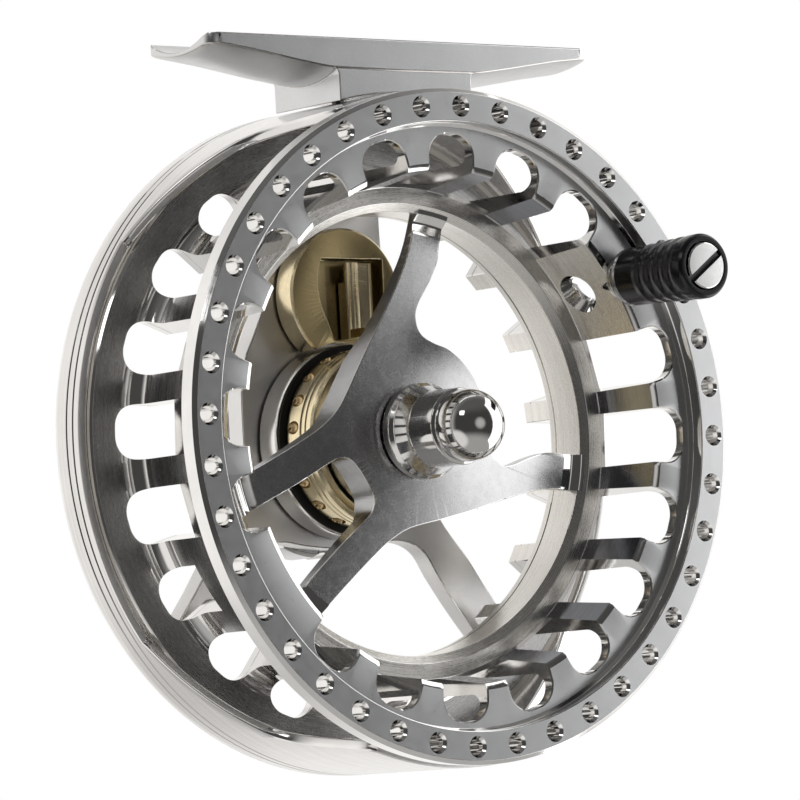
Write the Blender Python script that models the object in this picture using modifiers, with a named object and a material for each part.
# Fly reel, 3 inch, large arbor, open frame.
# +Y runs from the open (handle) side to the back of the frame, +Z to the reel foot.
# The pieces are drawn about the spindle axis, with y = 0 in the plane of the spool's front
# rim face; the last lines move the finished reel so that the world origin lies under the
# middle of its bounding box, level with the lowest point of the frame.
# Lengths are in millimetres (MM turns them into metres) and angles in degrees, clockwise
# from +Z seen from the front. Depth means y; a pair named ..._Y is (front, back).
import bpy
import bmesh
import math
from mathutils import Vector, Matrix

MM = 0.001
GAP = 0.3                 # running clearance between neighbours
WELD = 0.000002           # merge distance, metres
SHARP_ANGLE = 32.0        # edges steeper than this are shaded sharp

LARGE_SEGS = 60           # facets round the large turned parts
SMALL_SEGS = 20           # facets round the small turned parts

# ---------------------------------------------------------------- spool sizes
RIM_R = 38.0              # spool rim, outer radius
RIM_STEP_R = 34.25        # inner edge of the raised rim band
FLANGE_Y = (1.9, 3.2)     # recessed front flange
ARBOR_R = 30.3            # arbor, line side
ARBOR_IN = 29.0           # arbor, inside
REAR_IN = 27.2            # bore behind the middle ring
MID_RING_Y = (10.6, 16.6) # solid ring in the middle of the arbor
MID_RING_IN = 25.3
REAR_Y = (21.8, 23.2)     # rear flange
REAR_R = 36.4

RIM_HOLE_PITCH_R = 36.0   # ring of lightening holes in the rim
RIM_HOLE_COUNT = 40
RIM_HOLE_R = 0.9

SLOT_COUNT = 20
SLOT_W = 6.2
SLOT_OUT = 33.1           # outer end of every slot
SLOT_CORNER_R = 2.5
SLOT_CORNER_STEPS = 2
SLOT_IN = 27.6            # inner end through the front flange
MID_SLOT_IN = 28.5        # inner end where the slots pass over the middle ring
REAR_SLOT_IN = 25.8       # inner end through the rear flange
REAR_SLOT_Y = 16.9
SLOT_STEP_Y = 0.05        # depth over which a slot changes its outline

ARMS_Y = (8.0, 15.3)
HUB_R = 8.7

DRUM_R = 10.3             # dimpled clutch drum
DRUM_IN = 9.0
DRUM_Y = (15.6, 20.5)
DIMPLE_COUNT = 20
DIMPLE_START_ANG = 7.5
DIMPLE_Y = 19.3

CAP_DOME_R = 4.1          # rounded front of the spool cap
CAP_DOME_Y = 0.2          # depth of the dome's centre
CAP_DOME_STEPS = 5

# ---------------------------------------------------------------- handle sizes
HANDLE_ANG = 56.05
HANDLE_R = 30.3           # radius of the handle's axis on the flange
GRIP_Y = (-12.7, 0.7)
GRIP_BORE_R = 1.6
GROOVE_COUNT = 4
GROOVE_START_Y = -10.6
GROOVE_PITCH = 2.3
GROOVE_HALF = 0.6
GROOVE_DEPTH = 0.28
HANDLE_SCREW_FRONT = -13.0
HANDLE_SLOT_TURN = -36.0  # rotation of the driver slot about +Y

# ---------------------------------------------------------------- drag and click sizes
CUP_R = 11.1              # drag housing
CUP_Y = (21.4, 24.5)
PIN_PITCH_R = 7.4         # three push pins
PIN_ANGLES = (60.0, 180.0, 300.0)
PIN_R = 0.9
PIN_BORE_R = 1.2
NUT_HEX_R = 4.75          # across the corners
SCALLOP_COUNT = 12
SCALLOP_PITCH_R = 13.9
SCALLOP_R = 1.5
KNOB_SCREW_BACK = 34.8

CLICK_Z = 16.7
CLICK_R = 7.85
CLICK_Y = (21.3, 24.5)
CLICK_CHAMFER = 0.25
CLICK_SCREW = (-5.3, 18.2)   # x, z

SPRING_CENTRE = (1.4, 22.72)  # x, y
SPRING_Z = 18.85          # lower end
SPRING_LENGTH = 1.7
SPRING_R = 0.33
SPRING_WIRE_R = 0.13
SPRING_TURNS = 3
SPRING_STEPS = 10         # points per turn

# ---------------------------------------------------------------- frame and foot sizes
FRAME_R = 38.2
FRAME_IN = 37.0
FRAME_EDGE = 21.7         # front edge of the frame ring at the open sides
FRAME_BAR = 3.5           # front edge of the top and bottom bars
PLATE_Y = (CUP_Y[1] + GAP, 27.6)  # back plate: hub and three spokes
PLATE_IN = 34.6           # inside of the ring at the back plate
PLATE_OUT = 36.2
SPOKE_TRIM_R = 36.4

FOOT_Y = (8.03, 20.3)
FOOT_TOP = 44.5
FOOT_HALF = 27.4
FOOT_LAND = 0.7           # level land along both top edges
FOOT_SAG = 1.55           # depth of the trough
FOOT_STEPS = 8            # facets across the trough and across the underside
PEDESTAL_HALF = 9.5
FOOT_SCREW_X = (-5.0, 5.0)
FOOT_SCREW_Y = 14.2

# ---------------------------------------------------------------- clean start
for old in list(bpy.data.objects):
    bpy.data.objects.remove(old, do_unlink=True)

PARTS = bpy.data.collections.new("fly_reel")
TOOLS = bpy.data.collections.new("fly_reel_cutters")
bpy.context.scene.collection.children.link(PARTS)
bpy.context.scene.collection.children.link(TOOLS)


# ---------------------------------------------------------------- materials
def make_material(name, rgb, roughness, metallic=1.0):
    made = bpy.data.materials.new(name)
    made.use_nodes = True
    shader = made.node_tree.nodes["Principled BSDF"]
    shader.inputs["Base Color"].default_value = (*rgb, 1.0)
    shader.inputs["Roughness"].default_value = roughness
    shader.inputs["Metallic"].default_value = metallic
    return made


SATIN = make_material("satin_aluminium", rgb=(0.55, 0.55, 0.56), roughness=0.38)
FRAME_METAL = make_material("frame_aluminium", rgb=(0.58, 0.57, 0.56), roughness=0.34)
FOOT_METAL = make_material("foot_aluminium", rgb=(0.52, 0.52, 0.53), roughness=0.40)
GOLD = make_material("gold_anodised", rgb=(0.62, 0.50, 0.28), roughness=0.30)
CHROME = make_material("polished_steel", rgb=(0.70, 0.70, 0.70), roughness=0.08)
STEEL = make_material("stainless_steel", rgb=(0.60, 0.60, 0.60), roughness=0.28)
BLACK = make_material("black_anodised", rgb=(0.015, 0.015, 0.018), roughness=0.35, metallic=0.0)
RUBBER = make_material("black_rubber", rgb=(0.02, 0.02, 0.02), roughness=0.7, metallic=0.0)
CARBON = make_material("carbon_disc", rgb=(0.05, 0.05, 0.05), roughness=0.6, metallic=0.0)
BRASS = make_material("brass_screw", rgb=(0.72, 0.56, 0.28), roughness=0.30)


# ---------------------------------------------------------------- helpers
# In all of them an object given a material is a piece; without one it is a hidden cutter.
def polar(radius, angle, depth=0.0):
    """Point from a radius, an angle and a depth."""
    a = math.radians(angle)
    return Vector((radius * math.sin(a), depth, radius * math.cos(a)))


def mirrored(half):
    """Closed (x, z) outline from its half on the +X side."""
    return half + [(-x, z) for x, z in reversed(half) if x > 1e-6]


def new_object(name, mesh, material=None):
    made = bpy.data.objects.new(name, mesh)
    if material is None:
        TOOLS.objects.link(made)
        made.hide_render = True
        made.display_type = "WIRE"
    else:
        PARTS.objects.link(made)
        mesh.materials.clear()
        mesh.materials.append(material)
    return made


def shade(part):
    part.data.shade_smooth()
    part.data.set_sharp_from_angle(angle=math.radians(SHARP_ANGLE))
    return part


def evaluated_mesh(source, name):
    """Mesh of an object with its modifiers applied, welded."""
    bpy.context.view_layer.update()
    depsgraph = bpy.context.evaluated_depsgraph_get()
    mesh = bpy.data.meshes.new_from_object(source.evaluated_get(depsgraph))
    mesh.name = name
    shape = bmesh.new()
    shape.from_mesh(mesh)
    bmesh.ops.remove_doubles(shape, verts=shape.verts, dist=WELD)
    shape.to_mesh(mesh)
    shape.free()
    return mesh


def curve_mesh(name, curve, points, cyclic):
    """Mesh of a curve through points given in mm."""
    spline = curve.splines.new("POLY")
    spline.points.add(len(points) - 1)
    for target, (x, y, z) in zip(spline.points, points):
        target.co = (x * MM, y * MM, z * MM, 1.0)
    spline.use_cyclic_u = cyclic
    path = bpy.data.objects.new(name + "_path", curve)
    TOOLS.objects.link(path)
    mesh = evaluated_mesh(path, name)
    bpy.data.objects.remove(path, do_unlink=True)
    return mesh


def object_from_shape(name, shape, material=None):
    bmesh.ops.recalc_face_normals(shape, faces=shape.faces)
    mesh = bpy.data.meshes.new(name)
    shape.to_mesh(mesh)
    shape.free()
    return new_object(name, mesh, material)


def turned(name, profile, material=None, segs=SMALL_SEGS, at=(0.0, 0.0)):
    """Solid of revolution about an axis along Y through (x, z) = at.
    profile: closed loop of (radius, depth) running down the outer side from front to back."""
    mesh = bpy.data.meshes.new(name)
    shape = bmesh.new()
    verts = [shape.verts.new((r * MM, 0.0, -y * MM)) for r, y in profile]
    on_axis = profile[0][0] < 1e-6 and profile[-1][0] < 1e-6
    for i in range(len(verts) - (1 if on_axis else 0)):
        shape.edges.new((verts[i], verts[(i + 1) % len(verts)]))
    shape.to_mesh(mesh)
    shape.free()
    made = new_object(name, mesh, material)
    made.location = (at[0] * MM, 0.0, at[1] * MM)
    made.rotation_euler = (math.radians(90.0), 0.0, 0.0)
    screw = made.modifiers.new("turn", "SCREW")
    screw.axis = "Z"
    screw.steps = segs
    screw.render_steps = segs
    screw.use_merge_vertices = True
    screw.merge_threshold = WELD
    screw.use_smooth_shade = True
    return made


def ring(name, r_in, r_out, y0, y1, material, segs, at=(0.0, 0.0), chamfer=0.0):
    """Flat ring, or disc when r_in is 0, with an optional chamfer on the outer edges."""
    outer = [(r_out, y0), (r_out, y1)]
    if chamfer > 0:
        outer = [(r_out - chamfer, y0), (r_out, y0 + chamfer),
                 (r_out, y1 - chamfer), (r_out - chamfer, y1)]
    return turned(name, [(r_in, y0)] + outer + [(r_in, y1)], material, segs, at)


def plate_cutter(name, outline, y0, y1, turn=0.0):
    """Flat plate from a closed (x, z) outline, turned clockwise seen from the front."""
    curve = bpy.data.curves.new(name + "_outline", "CURVE")
    curve.dimensions = "2D"
    curve.fill_mode = "BOTH"
    curve.extrude = (y1 - y0) / 2.0 * MM
    mesh = curve_mesh(name, curve, [(x, z, 0.0) for x, z in outline], cyclic=True)
    upright = Matrix.Rotation(math.radians(90.0), 4, "X")  # curve y -> +Z
    mesh.transform(Matrix.Translation((0, (y0 + y1) / 2.0 * MM, 0)) @ upright
                   @ Matrix.Rotation(-math.radians(turn), 4, "Z"))
    shape = bmesh.new()
    shape.from_mesh(mesh)
    bmesh.ops.recalc_face_normals(shape, faces=shape.faces)
    shape.to_mesh(mesh)
    shape.free()
    return new_object(name, mesh)


def add_loft(shape, rows, turn=0.0):
    """Adds a closed solid through rows of (outline, depth) with equal vertex counts."""
    a = math.radians(turn)
    cos_a, sin_a = math.cos(a), math.sin(a)
    loops = [[shape.verts.new(((x * cos_a + z * sin_a) * MM, y * MM,
                               (-x * sin_a + z * cos_a) * MM)) for x, z in outline]
             for outline, y in rows]
    count = len(loops[0])
    shape.faces.new(loops[0])
    shape.faces.new(list(reversed(loops[-1])))
    for front, back in zip(loops, loops[1:]):
        for i in range(count):
            j = (i + 1) % count
            shape.faces.new((front[j], front[i], back[i], back[j]))


def prism_cutter(name, outline, y0, y1):
    shape = bmesh.new()
    add_loft(shape, [(outline, y0), (outline, y1)])
    return object_from_shape(name, shape)


def add_rod(shape, radius, start, end, segs, end_radius=None):
    """Adds a closed cylinder or cone between two points."""
    start, end = Vector(start), Vector(end)
    span = end - start
    aim = Vector((0, 0, 1)).rotation_difference(span.normalized()).to_matrix().to_4x4()
    bmesh.ops.create_cone(
        shape, cap_ends=True, cap_tris=False, segments=segs, radius1=radius * MM,
        radius2=(radius if end_radius is None else end_radius) * MM,
        depth=span.length * MM, matrix=Matrix.Translation((start + end) / 2.0 * MM) @ aim)


def rod(name, radius, start, end, material, segs):
    shape = bmesh.new()
    add_rod(shape, radius, start, end, segs)
    return shade(object_from_shape(name, shape, material))


def rod_cutter(name, rods):
    """rods: list of (radius, start, end, segments[, end radius])."""
    shape = bmesh.new()
    for entry in rods:
        add_rod(shape, *entry)
    return object_from_shape(name, shape)


def block(name, low, high, material=None):
    """Box between two opposite corners."""
    low, high = Vector(low), Vector(high)
    size = (high - low) * MM
    shape = bmesh.new()
    bmesh.ops.create_cube(shape, size=1.0, matrix=Matrix.Translation((low + high) / 2.0 * MM)
                          @ Matrix.Diagonal((size.x, size.y, size.z, 1.0)))
    return object_from_shape(name, shape, material)


def cut(target, tool, operation="DIFFERENCE"):
    boolean = target.modifiers.new(operation.lower(), "BOOLEAN")
    boolean.operation = operation
    boolean.object = tool
    boolean.solver = "EXACT"


def bake(part, origin=(0.0, 0.0, 0.0)):
    """Applies a piece's modifiers and transform and puts its origin at a point."""
    material = part.data.materials[0]
    mesh = evaluated_mesh(part, part.name)
    mesh.transform(part.matrix_world.copy())
    part.modifiers.clear()
    part.data = mesh
    mesh.materials.clear()
    mesh.materials.append(material)
    offset = Vector(origin) * MM
    mesh.transform(Matrix.Translation(-offset))
    part.matrix_world = Matrix.Translation(offset)
    shade(part)


def pin_bores(y0, y1):
    return [(PIN_BORE_R, polar(PIN_PITCH_R, angle, y0), polar(PIN_PITCH_R, angle, y1), 12)
            for angle in PIN_ANGLES]


# ================================================================ SPOOL
def slot_outline(r_in):
    """Slot across the +Z radius, with rounded corners at its outer end."""
    half = SLOT_W / 2.0
    points = [(-half, r_in)]
    for centre_x, start in ((-half + SLOT_CORNER_R, 180.0), (half - SLOT_CORNER_R, 90.0)):
        for i in range(SLOT_CORNER_STEPS + 1):
            t = math.radians(start - 90.0 * i / SLOT_CORNER_STEPS)
            points.append((centre_x + SLOT_CORNER_R * math.cos(t),
                           SLOT_OUT - SLOT_CORNER_R + SLOT_CORNER_R * math.sin(t)))
    points.append((half, r_in))
    return points


def spool_slots():
    """Slots from flange to flange, passing over the middle ring. At the handle seat and
    the balancing sector opposite it only the rear flange is cut."""
    front, middle, rear = (slot_outline(r) for r in (SLOT_IN, MID_SLOT_IN, REAR_SLOT_IN))
    rear_rows = [(rear, REAR_SLOT_Y), (rear, REAR_Y[1] + 1.0)]
    front_rows = [(front, -1.0), (front, MID_RING_Y[0]), (middle, MID_RING_Y[0] + SLOT_STEP_Y),
                  (middle, REAR_SLOT_Y - SLOT_STEP_Y)]
    shape = bmesh.new()
    for k in range(SLOT_COUNT):
        solid_front = k in (0, SLOT_COUNT // 2)
        add_loft(shape, rear_rows if solid_front else front_rows + rear_rows,
                 HANDLE_ANG + 360.0 * k / SLOT_COUNT)
    return object_from_shape("spool_slots", shape)


def spool_holes():
    rods = []
    for k in range(RIM_HOLE_COUNT):
        angle = HANDLE_ANG + 360.0 * k / RIM_HOLE_COUNT
        rods.append((RIM_HOLE_R, polar(RIM_HOLE_PITCH_R, angle, -1.0),
                     polar(RIM_HOLE_PITCH_R, angle, 5.0), 6))
    # window under the handle seat
    rods.append((1.9, polar(27.0, HANDLE_ANG, 7.8), polar(34.0, HANDLE_ANG, 7.8), 10))
    # seat of the handle post
    rods.append((1.5, polar(HANDLE_R, HANDLE_ANG, 0.0), polar(HANDLE_R, HANDLE_ANG, 4.4), 10))
    return rod_cutter("spool_holes", rods)


# half outline (x, z) of the four arms, before turning to the handle angle
ARMS_HALF = [
    (0.0, 11.0), (2.4, 10.8), (4.8, 9.9), (6.6, 8.6), (8.2, 7.8), (9.7, 8.1), (11.0, 9.5),
    (12.1, 12.9), (13.1, 15.3), (14.9, 17.7), (16.9, 20.4), (20.1, 17.6), (17.0, 13.6),
    (15.2, 10.3), (13.4, 5.9), (11.85, 1.6), (10.15, -2.6), (8.3, -7.0), (7.85, -10.0),
    (8.0, -13.0), (8.5, -17.3), (9.0, -20.8), (9.7, -24.8), (5.9, -25.9), (5.05, -20.7),
    (4.4, -16.2), (3.95, -11.8), (3.5, -10.2), (2.3, -9.3), (0.0, -9.1)]


def spool_arms():
    """Four arms and the hub face, cut from one shallow turned cone, with a bored sleeve."""
    arms = plate_cutter("spool_arms", mirrored(ARMS_HALF), *ARMS_Y, HANDLE_ANG)
    cut(arms, turned("spool_arm_cone", [
        (0.0, 9.5), (6.0, 9.5), (23.0, 11.3), (25.2, 11.3), (25.9, 11.9), (25.9, 12.5),
        (12.4, 12.5), (10.8, 13.6), (0.0, 13.6)], segs=LARGE_SEGS), "INTERSECT")
    cut(arms, turned("spool_hub_sleeve", [
        (0.0, 13.0), (HUB_R, 13.0), (HUB_R, 20.2), (0.0, 20.2)], segs=24), "UNION")
    cut(arms, turned("spool_hub_bore", [
        (0.0, 8.0), (3.4, 8.0), (3.4, 11.7), (5.6, 11.7), (5.6, 16.0), (7.6, 16.0),
        (7.6, 22.0), (0.0, 22.0)], segs=24))
    return arms


def build_spool():
    spool = turned("spool", [
        # raised rim band and back of the front flange
        (RIM_STEP_R, 0.0), (37.6, 0.0), (RIM_R, 0.35), (RIM_R, 2.0),
        (36.4, FLANGE_Y[1]), (33.0, FLANGE_Y[1]),
        # arbor and rear flange
        (ARBOR_R, 5.4), (ARBOR_R, 19.6), (33.0, REAR_Y[0]), (REAR_R, REAR_Y[0]),
        (REAR_R, REAR_Y[1]), (REAR_IN, REAR_Y[1]),
        # inside: middle ring, arbor bore, front of the flange
        (REAR_IN, REAR_SLOT_Y), (MID_RING_IN, MID_RING_Y[1]), (MID_RING_IN, 11.3),
        (26.2, MID_RING_Y[0]), (ARBOR_IN, MID_RING_Y[0]), (ARBOR_IN, 2.6),
        (ARBOR_IN + 0.7, FLANGE_Y[0]), (RIM_STEP_R, FLANGE_Y[0])], SATIN, LARGE_SEGS)
    cut(spool, spool_slots())
    cut(spool, spool_holes())
    cut(spool, spool_arms(), "UNION")
    bake(spool)


def build_clutch_drum():
    """Drum with a ring of conical dimples, round the hub sleeve."""
    drum = turned("clutch_drum", [
        (DRUM_IN, DRUM_Y[0]), (9.9, DRUM_Y[0]), (DRUM_R, DRUM_Y[0] + 0.4),
        (DRUM_R, DRUM_Y[1]), (DRUM_IN, DRUM_Y[1])], GOLD, 30)
    dimples = []
    for k in range(DIMPLE_COUNT):
        angle = DIMPLE_START_ANG + 360.0 * k / DIMPLE_COUNT
        dimples.append((0.1, polar(DRUM_R - 0.45, angle, DIMPLE_Y),
                        polar(DRUM_R + 0.5, angle, DIMPLE_Y), 5, 1.0))
    cut(drum, rod_cutter("drum_dimples", dimples))
    bake(drum)


def build_spool_cap():
    profile = []
    for i in range(CAP_DOME_STEPS + 1):
        t = math.radians(90.0 * i / CAP_DOME_STEPS)
        profile.append((CAP_DOME_R * math.sin(t), CAP_DOME_Y - CAP_DOME_R * math.cos(t)))
    profile += [(4.35, 1.1), (4.35, 5.8), (5.5, 8.1), (5.5, 8.7), (5.2, 9.2),
                (3.3, 9.2), (3.3, 3.6), (0.0, 3.6)]
    bake(turned("spool_cap", profile, CHROME, 22))


# ================================================================ HANDLE
def build_handle():
    seat = polar(HANDLE_R, HANDLE_ANG)
    axis = (seat.x, seat.z)
    turned("handle_post", [
        (0.95, -11.9), (1.25, -11.9), (1.25, 0.95), (2.7, 0.95), (2.7, 1.55), (1.2, 1.55),
        (1.2, 4.0), (0.95, 4.0)], STEEL, 18, axis)

    profile = [(GRIP_BORE_R, -12.0), (2.95, -12.0), (2.95, GRIP_Y[0]), (3.45, GRIP_Y[0]),
               (3.7, -12.4), (3.7, -11.2)]
    for i in range(GROOVE_COUNT):
        y = GROOVE_START_Y + GROOVE_PITCH * i
        radius = 3.68 - 0.09 * i      # the grip tapers towards the spool
        profile += [(radius, y - GROOVE_HALF), (radius - GROOVE_DEPTH, y),
                    (radius, y + GROOVE_HALF)]
    grip_back = GRIP_Y[1] - 0.05
    profile += [(3.3, -1.4), (3.15, 0.2), (2.9, grip_back), (GRIP_BORE_R, grip_back)]
    bake(turned("handle_grip", profile, BLACK, 16, axis), seat)

    screw = turned("handle_screw", [
        (0.0, HANDLE_SCREW_FRONT), (2.35, HANDLE_SCREW_FRONT), (2.6, -12.8), (2.6, -12.3),
        (0.65, -12.3), (0.65, -6.0), (0.0, -6.0)], STEEL, 20, axis)
    slot = block("handle_screw_slot", (-4.0, -13.5, -0.35), (4.0, -12.75, 0.35))
    slot.matrix_world = (Matrix.Translation(seat * MM)
                         @ Matrix.Rotation(math.radians(HANDLE_SLOT_TURN), 4, "Y"))
    cut(screw, slot)
    bake(screw)


# ================================================================ FRAME
# front edge of the frame over a quarter turn from the top bar: (angle, depth)
FRAME_FRONT = [
    (0, FRAME_BAR), (10, FRAME_BAR), (20, FRAME_BAR), (21.2, 4.6), (22.4, 7.4), (24, 11.0),
    (26, 13.8), (28.5, 15.6), (36, 17.6), (44, 19.4), (53, FRAME_EDGE - 0.4),
    (54, FRAME_EDGE), (66, FRAME_EDGE), (78, FRAME_EDGE), (90, FRAME_EDGE)]

# half outline (x, z) of the hub and spokes: a wide one up to the foot, two curved ones down
SPOKES_HALF = [
    (8.6, 36.0), (8.3, 30.0), (8.2, 24.0), (8.7, 18.0), (10.4, 13.4), (12.6, 9.0),
    (13.1, 4.8), (13.1, -1.5), (13.4, -5.6), (15.2, -9.4), (18.4, -13.2), (21.4, -17.4),
    (25.0, -21.6), (28.4, -22.5), (25.7, -26.3), (21.2, -24.3), (17.5, -20.3),
    (14.2, -15.9), (11.9, -12.6), (8.6, -11.4), (4.5, -11.9), (0.0, -12.2)]


def frame_front_cutter():
    """Closed band that removes the shell in front of its front edge."""
    half = FRAME_FRONT + [(180 - a, y) for a, y in reversed(FRAME_FRONT[:-1])]
    edge = half + [(360 - a, y) for a, y in reversed(half[1:-1])]
    shape = bmesh.new()
    sections = [[shape.verts.new(polar(r, a, y) * MM)
                 for r, y in ((34.0, -2.0), (42.0, -2.0), (42.0, depth), (34.0, depth))]
                for a, depth in edge]
    for here, after in zip(sections, sections[1:] + sections[:1]):
        for k in range(4):
            j = (k + 1) % 4
            shape.faces.new((here[k], after[k], after[j], here[j]))
    return object_from_shape("frame_front_cut", shape)


def build_frame():
    frame = turned("frame", [
        (FRAME_IN, 2.5), (FRAME_R, 2.5), (FRAME_R, 25.0), (37.5, 26.2), (PLATE_OUT, PLATE_Y[1]),
        (PLATE_IN, PLATE_Y[1]), (PLATE_IN, PLATE_Y[0]), (FRAME_IN, PLATE_Y[0] - 0.5)],
        FRAME_METAL, LARGE_SEGS)
    cut(frame, frame_front_cutter())
    spokes = plate_cutter("frame_spokes", mirrored(SPOKES_HALF), *PLATE_Y)
    cut(spokes, turned("frame_spoke_trim", [
        (0.0, 20.0), (SPOKE_TRIM_R, 20.0), (SPOKE_TRIM_R, 30.0), (0.0, 30.0)],
        segs=LARGE_SEGS), "INTERSECT")
    cut(frame, spokes, "UNION")
    click_x, click_z = CLICK_SCREW
    bores = [(3.3, (0, 23, 0), (0, 30, 0), 28)]
    bores += pin_bores(23, 30)
    bores.append((1.3, (click_x, 23, click_z), (click_x, 30, click_z), 12))
    bores += [(1.6, (x, FOOT_SCREW_Y, 34.0), (x, FOOT_SCREW_Y, 40.0), 12) for x in FOOT_SCREW_X]
    cut(frame, rod_cutter("frame_bores", bores))
    bake(frame)


# ================================================================ REEL FOOT
# left half of the foot: (x, z of the underside's edges, drop of the underside's middle)
FOOT_STATIONS = [
    (-FOOT_HALF, 43.55, 1.05), (-26.6, 43.3, 1.1), (-22.0, 42.8, 1.25),
    (-15.0, 41.7, 1.35), (-10.6, 41.1, 1.35)]


def foot_section(z_edge, drop):
    """Closed (y, z) section: hollow top with level lands, bulging underside."""
    y0, y1 = FOOT_Y
    centre, half = (y0 + y1) / 2.0, (y1 - y0) / 2.0
    across = [-1.0 + 2.0 * i / FOOT_STEPS for i in range(FOOT_STEPS + 1)]
    top = [(centre + u * (half - FOOT_LAND), FOOT_TOP - FOOT_SAG * (1.0 - u * u))
           for u in across]
    under = [(centre + u * half, z_edge - drop * (1.0 - u * u)) for u in reversed(across)]
    return [(y0, FOOT_TOP)] + top + [(y1, FOOT_TOP)] + under


def build_foot():
    """Trough that carries the rod, thin at both ends, over a square pedestal."""
    stations = FOOT_STATIONS + [(-x, z, drop) for x, z, drop in reversed(FOOT_STATIONS)]
    shape = bmesh.new()
    loops = [[shape.verts.new((x * MM, y * MM, z * MM)) for y, z in foot_section(z_edge, drop)]
             for x, z_edge, drop in stations]
    for here, after in zip(loops, loops[1:]):
        for k in range(len(here)):
            j = (k + 1) % len(here)
            shape.faces.new((here[k], here[j], after[j], after[k]))
    shape.faces.new(loops[0])
    shape.faces.new(list(reversed(loops[-1])))
    foot = object_from_shape("reel_foot", shape, FOOT_METAL)

    cut(foot, block("foot_pedestal", (-PEDESTAL_HALF, FOOT_Y[0], 36.0),
                    (PEDESTAL_HALF, FOOT_Y[1], 42.2)), "UNION")
    ends = [(-FOOT_HALF, 43.2), (-27.1, 42.0), (-25.0, 35.0), (25.0, 35.0), (27.1, 42.0),
            (FOOT_HALF, 43.2), (FOOT_HALF, 46.0), (-FOOT_HALF, 46.0)]
    cut(foot, plate_cutter("foot_ends", ends, FOOT_Y[0] - 1.0, FOOT_Y[1] + 1.0), "INTERSECT")
    cut(foot, rod_cutter("foot_seat", [(FRAME_R + GAP, (0, 5, 0), (0, 24, 0), 90)]))
    cut(foot, rod_cutter("foot_threads", [
        (1.15, (x, FOOT_SCREW_Y, 34.0), (x, FOOT_SCREW_Y, 41.2), 12) for x in FOOT_SCREW_X]))
    bake(foot)


def build_foot_screws():
    y = FOOT_SCREW_Y
    for i, x in enumerate(FOOT_SCREW_X, 1):
        screw = rod(f"foot_screw_{i}", 2.3, (x, y, 34.5), (x, y, 36.0), STEEL, 16)
        cut(screw, rod_cutter(f"foot_screw_shank_{i}", [
            (0.85, (x, y, 35.6), (x, y, 40.8), 12)]), "UNION")
        cut(screw, rod_cutter(f"foot_screw_socket_{i}", [
            (1.0, (x, y, 33.5), (x, y, 35.2), 6)]))
        bake(screw)


# ================================================================ SPINDLE AND DRAG
# plain rings about the spindle:
# name, inner radius, outer radius, front depth, back depth, material, facets
PLAIN_RINGS = [
    ("front_bearing", 3.35, 5.3, 12.0, 14.6, STEEL, 20),
    ("one_way_clutch", 5.25, 7.3, 16.3, 20.0, STEEL, 20),
    ("housing_seal", 9.3, 11.0, 20.82, 21.1, RUBBER, 28),
    ("friction_disc", 3.4, 9.7, 22.1, 22.55, CARBON, 24),
    ("pressure_plate", 3.4, 9.7, 22.85, 23.5, STEEL, 24),
    ("drag_spring", 6.1, 8.8, 28.25, 28.55, STEEL, 20),
    ("drag_cam", 6.1, 9.0, 28.85, 31.2, BRASS, 24)]


def build_spindle():
    turned("spindle", [
        (0.0, 4.0), (2.7, 4.0), (3.0, 4.3), (3.0, 24.1), (5.5, 24.1), (5.5, 24.5), (3.0, 24.5),
        (3.0, 29.8), (1.5, 29.8), (1.5, 25.6), (0.0, 25.6)], STEEL)


def build_drag():
    housing = turned("drag_housing", [
        (10.1, CUP_Y[0]), (10.9, CUP_Y[0]), (CUP_R, CUP_Y[0] + 0.2), (CUP_R, CUP_Y[1]),
        (5.8, CUP_Y[1]), (5.8, 23.95), (10.1, 23.95)], STEEL, 28)
    cut(housing, rod_cutter("housing_bores", pin_bores(23, 26)))
    bake(housing)
    turned("drag_rotor", [
        (3.35, 16.6), (4.95, 16.6), (4.95, 21.4), (9.7, 21.4), (9.7, 21.8), (3.35, 21.8)],
        STEEL, 24)
    for i, angle in enumerate(PIN_ANGLES, 1):
        rod(f"push_pin_{i}", PIN_R, polar(PIN_PITCH_R, angle, 23.8),
            polar(PIN_PITCH_R, angle, 27.95), STEEL, 12)


def build_spindle_nut():
    nut = ring("spindle_nut", 3.3, 4.9, 27.9, 29.6, STEEL, 20)
    angles = [math.radians(60 * k + 30) for k in range(6)]
    hexagon = [(NUT_HEX_R * math.sin(a), NUT_HEX_R * math.cos(a)) for a in angles]
    cut(nut, prism_cutter("nut_hexagon", hexagon, 27.0, 31.0), "INTERSECT")
    bake(nut)


def build_drag_knob():
    knob = turned("drag_knob", [
        (1.5, 32.9), (1.5, 31.5), (11.0, 31.5), (11.0, 28.2), (12.6, 28.2), (13.0, 28.6),
        (13.0, 32.9), (12.0, 33.9), (3.2, 33.9), (3.2, 32.9)], SATIN, 32)
    angles = [360.0 * k / SCALLOP_COUNT for k in range(SCALLOP_COUNT)]
    cut(knob, rod_cutter("knob_scallops", [
        (SCALLOP_R, polar(SCALLOP_PITCH_R, a, 27.0), polar(SCALLOP_PITCH_R, a, 35.0), 8)
        for a in angles]))
    bake(knob)

    screw = turned("knob_screw", [
        (0.0, 25.9), (1.2, 25.9), (1.2, 33.2), (2.7, 33.2), (2.9, 33.4), (2.9, 34.6),
        (2.6, KNOB_SCREW_BACK), (0.0, KNOB_SCREW_BACK)], STEEL, 18)
    cut(screw, rod_cutter("knob_screw_socket", [(1.3, (0, 33.8, 0), (0, 35.5, 0), 6)]))
    bake(screw)


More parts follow.
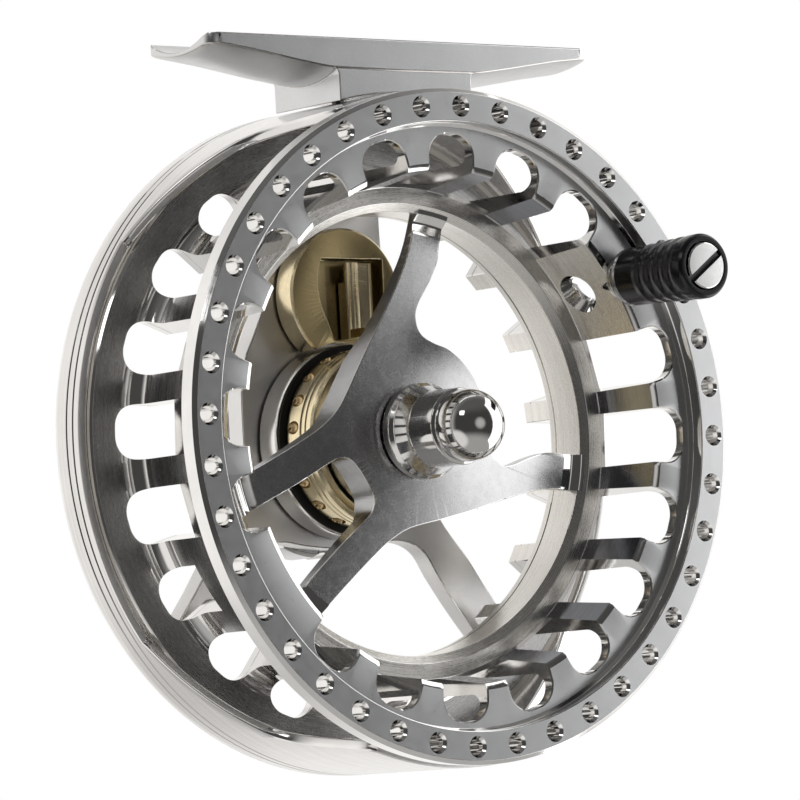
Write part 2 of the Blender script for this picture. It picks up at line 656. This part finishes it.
# ================================================================ CLICK
def build_click_housing():
    housing = ring("click_housing", 0.0, CLICK_R, *CLICK_Y, GOLD, 32, (0.0, CLICK_Z),
                   CLICK_CHAMFER)
    cut(housing, rod_cutter("click_relief", [
        (CUP_R + GAP + 0.1, (0, 20, 0), (0, 26, 0), 32)]))
    pocket = [(-0.3, 8.0), (-2.6, 13.2), (-4.0, 16.3), (-3.9, 19.2), (-3.3, 21.0),
              (5.5, 21.0), (5.5, 8.0)]
    cut(housing, prism_cutter("click_pocket", pocket, 20.0, 23.5))
    x, z = CLICK_SCREW
    cut(housing, rod_cutter("click_thread", [(1.0, (x, 23.0, z), (x, 26.0, z), 12)]))
    bake(housing)
    turned("click_screw", [
        (0.0, 23.8), (0.7, 23.8), (0.7, 27.9), (2.2, 27.9), (2.2, 28.9), (0.0, 28.9)],
        STEEL, 16, CLICK_SCREW)


# blocks joined to the tip of the pawl: name, low corner, high corner
PAWL_BLOCKS = [
    ("pawl_neck", (0.6, 18.7, 11.75), (2.2, 22.0, 12.9)),
    ("pawl_bar", (0.4, 21.6, 11.75), (2.4, 23.2, 18.3)),
    ("pawl_cover", (0.4, 21.6, 17.5), (2.4, 21.95, 20.6)),
    ("pawl_slab", (2.3, 22.3, 11.75), (4.7, 23.2, 20.6))]


def build_click_pawl():
    pawl = block("click_pawl", (0.8, 18.8, 10.75), (2.0, 19.8, 12.4), GOLD)
    for name, low, high in PAWL_BLOCKS:
        cut(pawl, block(name, low, high), "UNION")
    bake(pawl)


def build_click_spring():
    """Short coil between the pawl and the top of its pocket."""
    curve = bpy.data.curves.new("click_spring", "CURVE")
    curve.dimensions = "3D"
    curve.bevel_depth = SPRING_WIRE_R * MM
    curve.bevel_resolution = 0
    curve.use_fill_caps = True
    x, y = SPRING_CENTRE
    steps = SPRING_TURNS * SPRING_STEPS
    points = []
    for i in range(steps + 1):
        t = 2.0 * math.pi * i / SPRING_STEPS
        points.append((x + SPRING_R * math.cos(t), y + SPRING_R * math.sin(t),
                       SPRING_Z + SPRING_LENGTH * i / steps))
    mesh = curve_mesh("click_spring", curve, points, cyclic=False)
    shade(new_object("click_spring", mesh, STEEL))


# ================================================================ ASSEMBLY
build_spool()
build_clutch_drum()
build_spool_cap()
build_handle()
build_frame()
build_foot()
build_foot_screws()
build_spindle()
for entry in PLAIN_RINGS:
    ring(*entry)
build_drag()
build_spindle_nut()
build_drag_knob()
build_click_housing()
build_click_pawl()
build_click_spring()

# the two screw heads are the front and back ends of the reel
SHIFT = Vector((0.0, -(KNOB_SCREW_BACK + HANDLE_SCREW_FRONT) / 2.0, FRAME_R)) * MM
for placed in bpy.data.objects:
    placed.location += SHIFT
